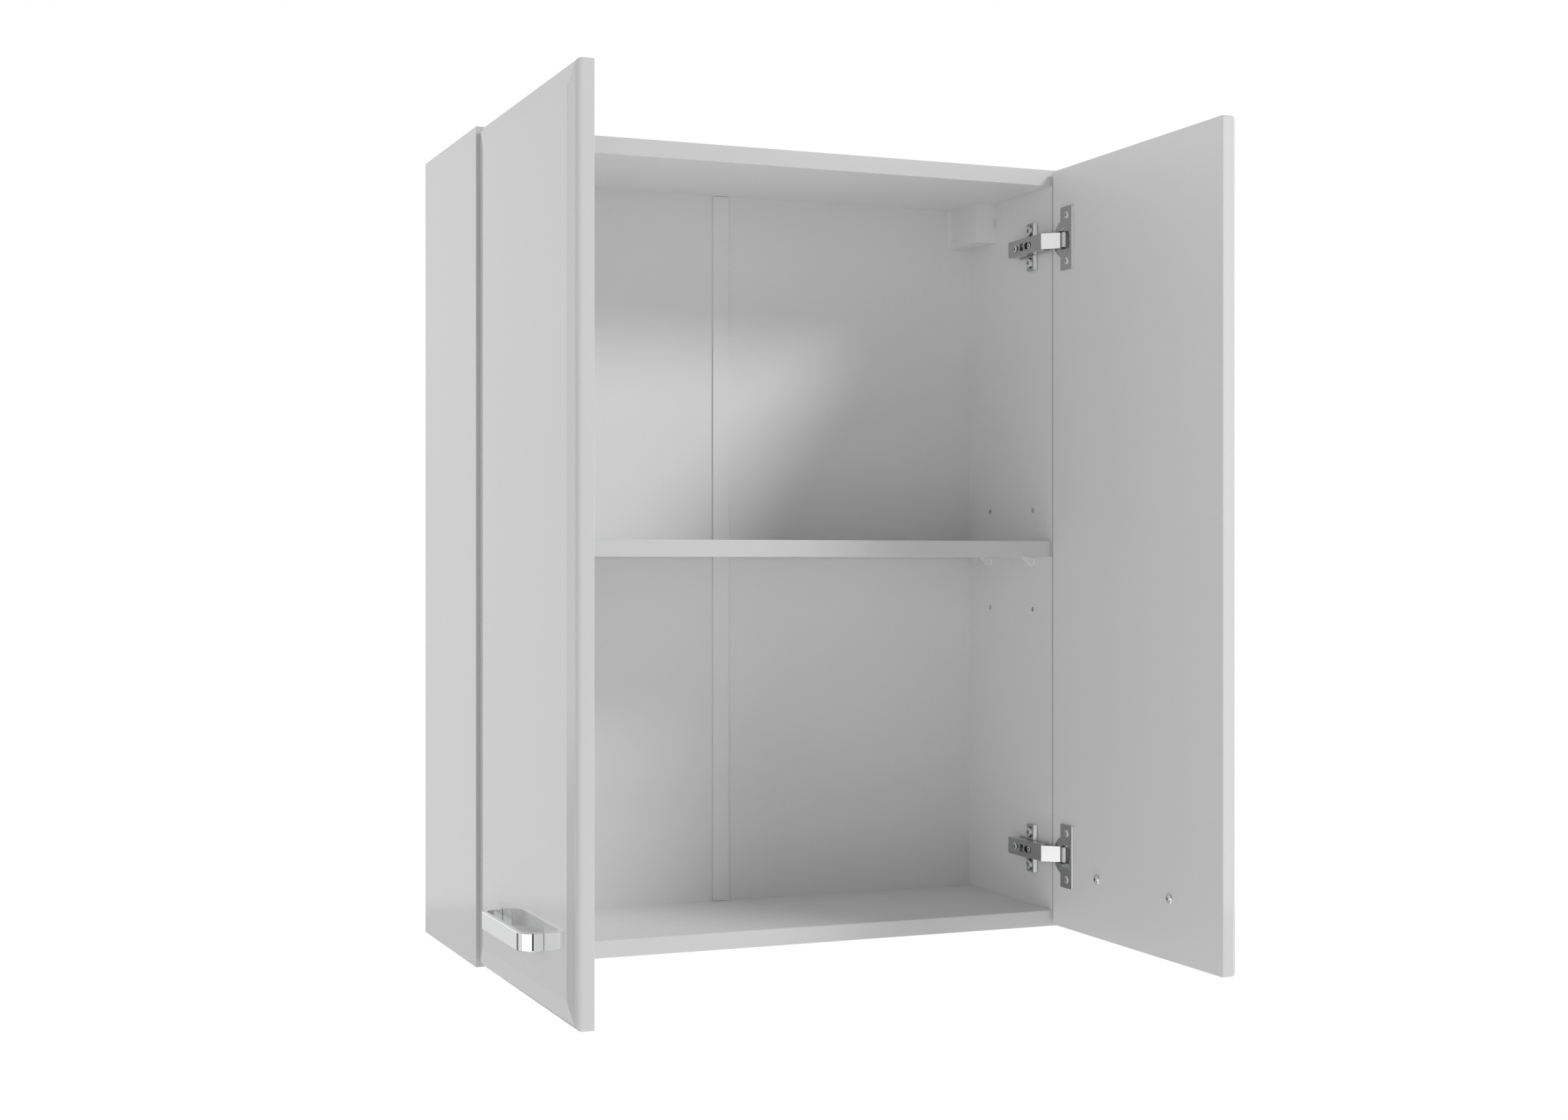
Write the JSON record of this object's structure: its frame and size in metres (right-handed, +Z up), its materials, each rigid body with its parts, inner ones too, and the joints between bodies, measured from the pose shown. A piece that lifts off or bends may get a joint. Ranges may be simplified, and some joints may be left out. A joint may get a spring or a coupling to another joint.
{
  "type": "hanging wall cabinet",
  "caption": "White hanging wall cabinet with two hinged gloss doors on concealed hinges, an adjustable shelf and chrome bow handles, hung from a wall rail.",
  "frame": {"origin": "middle of the top panel's rear edge, on the wall plane", "axes": "+X to the right when facing the doors from the room, +Y into the wall, +Z up; the doors open towards -Y"},
  "size_m": [0.6382, 0.502, 0.75],
  "materials": {
    "white_board": "white melamine-faced board, satin",
    "back_sheet": "white painted fibreboard, matt",
    "gloss_white_front": "white high-gloss lacquer on fibreboard",
    "chrome_handle": "polished chrome",
    "nickel_hinge": "nickel-plated pressed steel, satin",
    "nickel_link": "nickel-plated steel, polished",
    "zinc_steel": "zinc-plated steel",
    "zinc_screw": "bright zinc-plated steel",
    "white_plastic": "white moulded plastic"
  },
  "bodies": {
    "case": {"side_left": "white_board", "back_left": "back_sheet", "hanger_bracket_left": "zinc_steel", "hanger_cover_left": "white_plastic", "shelf_pin_front_left": "white_plastic", "shelf_pin_rear_left": "white_plastic", "hinge_arm_upper_left": "nickel_hinge", "mounting_plate_upper_left": "nickel_hinge", "plate_screw_upper_top_left": "zinc_screw", "plate_screw_upper_bottom_left": "zinc_screw", "hinge_arm_lower_left": "nickel_hinge", "mounting_plate_lower_left": "nickel_hinge", "plate_screw_lower_top_left": "zinc_screw", "plate_screw_lower_bottom_left": "zinc_screw", "side_right": "white_board", "back_right": "back_sheet", "hanger_bracket_right": "zinc_steel", "hanger_cover_right": "white_plastic", "shelf_pin_front_right": "white_plastic", "shelf_pin_rear_right": "white_plastic", "hinge_arm_upper_right": "nickel_hinge", "mounting_plate_upper_right": "nickel_hinge", "plate_screw_upper_top_right": "zinc_screw", "plate_screw_upper_bottom_right": "zinc_screw", "hinge_arm_lower_right": "nickel_hinge", "mounting_plate_lower_right": "nickel_hinge", "plate_screw_lower_top_right": "zinc_screw", "plate_screw_lower_bottom_right": "zinc_screw", "top_panel": "white_board", "bottom_panel": "white_board", "shelf": "white_board", "back_joint_strip": "white_plastic"},
    "door_left": {"door_left": "gloss_white_front", "handle_left": "chrome_handle", "handle_screw_near_left": "zinc_screw", "handle_screw_far_left": "zinc_screw", "hinge_cup_upper_left": "nickel_hinge", "cup_screw_upper_top_left": "zinc_screw", "cup_screw_upper_bottom_left": "zinc_screw", "hinge_cup_lower_left": "nickel_hinge", "cup_screw_lower_top_left": "zinc_screw", "cup_screw_lower_bottom_left": "zinc_screw"},
    "outer_links_left": {"outer_link_upper_left": "nickel_link", "outer_link_lower_left": "nickel_link"},
    "inner_links_left": {"inner_link_upper_left": "nickel_link", "inner_link_lower_left": "nickel_link"},
    "door_right": {"door_right": "gloss_white_front", "handle_right": "chrome_handle", "handle_screw_near_right": "zinc_screw", "handle_screw_far_right": "zinc_screw", "hinge_cup_upper_right": "nickel_hinge", "cup_screw_upper_top_right": "zinc_screw", "cup_screw_upper_bottom_right": "zinc_screw", "hinge_cup_lower_right": "nickel_hinge", "cup_screw_lower_top_right": "zinc_screw", "cup_screw_lower_bottom_right": "zinc_screw"},
    "outer_links_right": {"outer_link_upper_right": "nickel_link", "outer_link_lower_right": "nickel_link"},
    "inner_links_right": {"inner_link_upper_right": "nickel_link", "inner_link_lower_right": "nickel_link"}
  },
  "joints": [
    {"name": "door_left_swing", "type": "hinge", "parent": "case", "child": "door_left", "pos_m": [-0.29135, -0.21144, -0.3665], "axis": [0, 0, 1], "range_deg": [-20, 90]},
    {"name": "outer_links_left_turn", "type": "hinge", "parent": "case", "child": "outer_links_left", "pos_m": [-0.2754, -0.1984, -0.3665], "axis": [0, 0, 1], "range_deg": [-25.4, 5.8]},
    {"name": "inner_links_left_turn", "type": "hinge", "parent": "case", "child": "inner_links_left", "pos_m": [-0.2792, -0.1958, -0.3665], "axis": [0, 0, 1], "range_deg": [-27.2, 6.2]},
    {"name": "door_right_swing", "type": "hinge", "parent": "case", "child": "door_right", "pos_m": [0.29135, -0.21144, -0.3665], "axis": [0, 0, -1], "range_deg": [-20, 90]},
    {"name": "outer_links_right_turn", "type": "hinge", "parent": "case", "child": "outer_links_right", "pos_m": [0.2754, -0.1984, -0.3665], "axis": [0, 0, -1], "range_deg": [-25.4, 5.8]},
    {"name": "inner_links_right_turn", "type": "hinge", "parent": "case", "child": "inner_links_right", "pos_m": [0.2792, -0.1958, -0.3665], "axis": [0, 0, -1], "range_deg": [-27.2, 6.2]}
  ],
  "couplings": [
    {"joint": "outer_links_left_turn", "follows": "door_left_swing", "ratio": -0.28},
    {"joint": "inner_links_left_turn", "follows": "door_left_swing", "ratio": -0.3},
    {"joint": "outer_links_right_turn", "follows": "door_right_swing", "ratio": -0.28},
    {"joint": "inner_links_right_turn", "follows": "door_right_swing", "ratio": -0.3}
  ]
}
